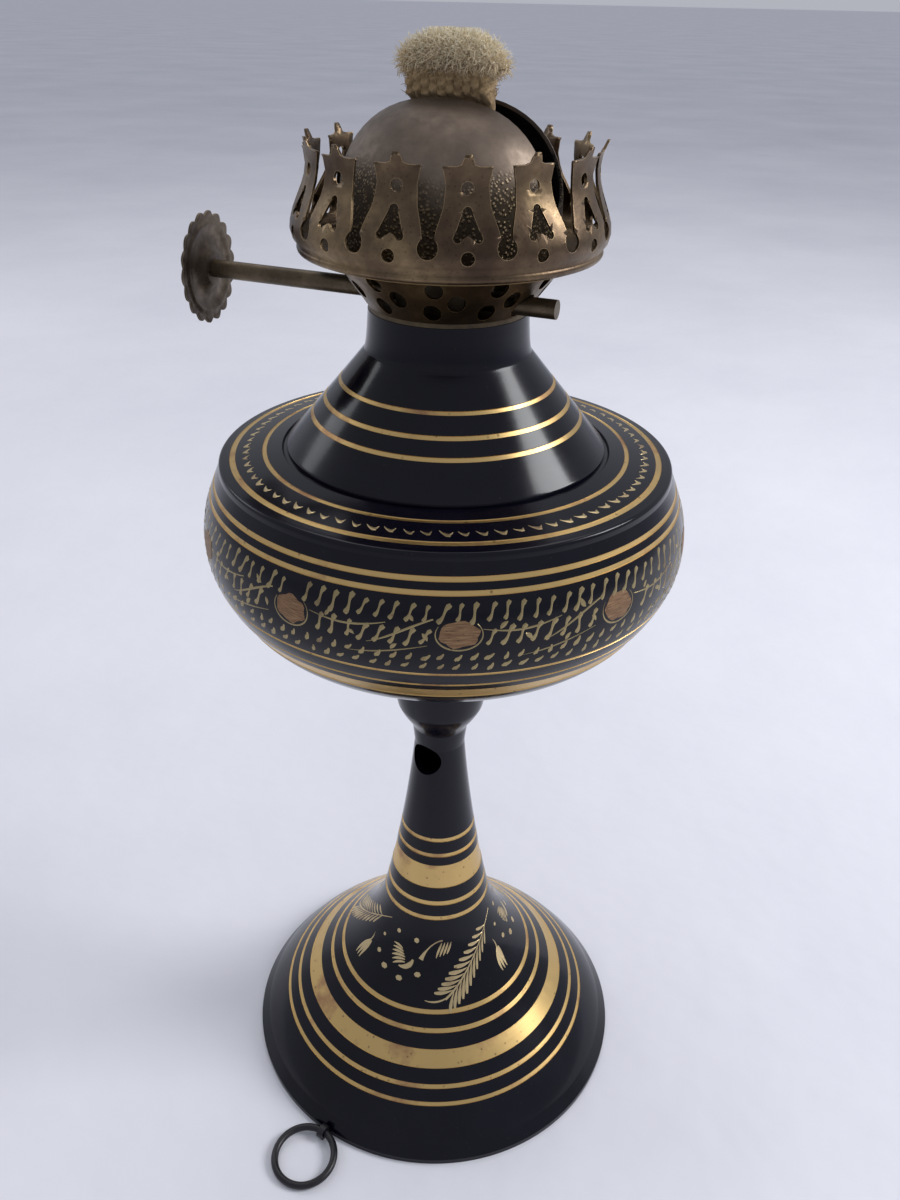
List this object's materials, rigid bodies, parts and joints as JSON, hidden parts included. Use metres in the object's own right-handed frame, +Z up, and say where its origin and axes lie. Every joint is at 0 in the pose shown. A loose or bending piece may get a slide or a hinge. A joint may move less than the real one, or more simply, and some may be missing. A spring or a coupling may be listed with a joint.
{
  "type": "oil lamp",
  "caption": "Turned pedestal oil lamp with black lacquered font, engraved brass rings, flat-wick burner with pronged gallery, slotted dome and winder knob.",
  "frame": {"origin": "centre of the foot on the table", "axes": "+Z up along the turned axis; the winder shaft runs along X with its knob towards -X; -Y is the front"},
  "size_m": [0.1047, 0.1176, 0.2514],
  "materials": {
    "lacquer": "glossy black stove lacquer on turned brass, cut through to the brass in rings and engraved marks",
    "plain_brass": "machined, dulled",
    "burner_brass": "pressed sheet, heat browned, worn bright on edges",
    "dome_brass": "pressed sheet, smoked grey brown, stippled skirt",
    "winder_brass": "dark aged",
    "ring_wire": "blackened wire, satin",
    "washer": "oiled",
    "wick_cotton": "woven cotton, frayed at the burning end"
  },
  "bodies": {
    "lamp": {"foot_bell": "lacquer", "stem": "lacquer", "stem_cup": "lacquer", "font_stud": "plain_brass", "font_bowl": "lacquer", "sealing_washer": "washer", "font_nut": "plain_brass", "font_top": "lacquer", "collar_ring": "plain_brass", "ring_eye": "ring_wire"},
    "ring": {"pull_ring": "ring_wire"},
    "burner": {"screw_sleeve": "plain_brass", "base_plate": "burner_brass", "burner_cup": "burner_brass", "gallery": "burner_brass", "air_plate": "burner_brass", "dome": "dome_brass", "wick_tube": "burner_brass", "winder_box": "burner_brass"},
    "winder": {"winder_shaft": "winder_brass", "sprocket_left": "plain_brass", "sprocket_right": "plain_brass", "winder_knob": "winder_brass", "knob_rivet": "winder_brass"},
    "wick": {"wick": "wick_cotton"}
  },
  "joints": [
    {"name": "burner_lift", "type": "slide", "parent": "lamp", "child": "burner", "axis": [0, 0, 1], "range_m": [0, 0.075]},
    {"name": "winder_turn", "type": "hinge", "parent": "burner", "child": "winder", "pos_m": [0, -0.0052, 0.2065], "axis": [1, 0, 0], "range_deg": [-45, 180]},
    {"name": "wick_feed", "type": "slide", "parent": "burner", "child": "wick", "axis": [0, 0, 1], "range_m": [-0.0028, 0.0113]},
    {"name": "ring_swing", "type": "hinge", "parent": "lamp", "child": "ring", "pos_m": [-0.00981, -0.05046, 0.0018], "axis": [-0.9816, 0.1908, 0], "range_deg": [0, 115]}
  ],
  "couplings": [
    {"joint": "winder_turn", "follows": "wick_feed", "rad_per_m": 277.78}
  ]
}
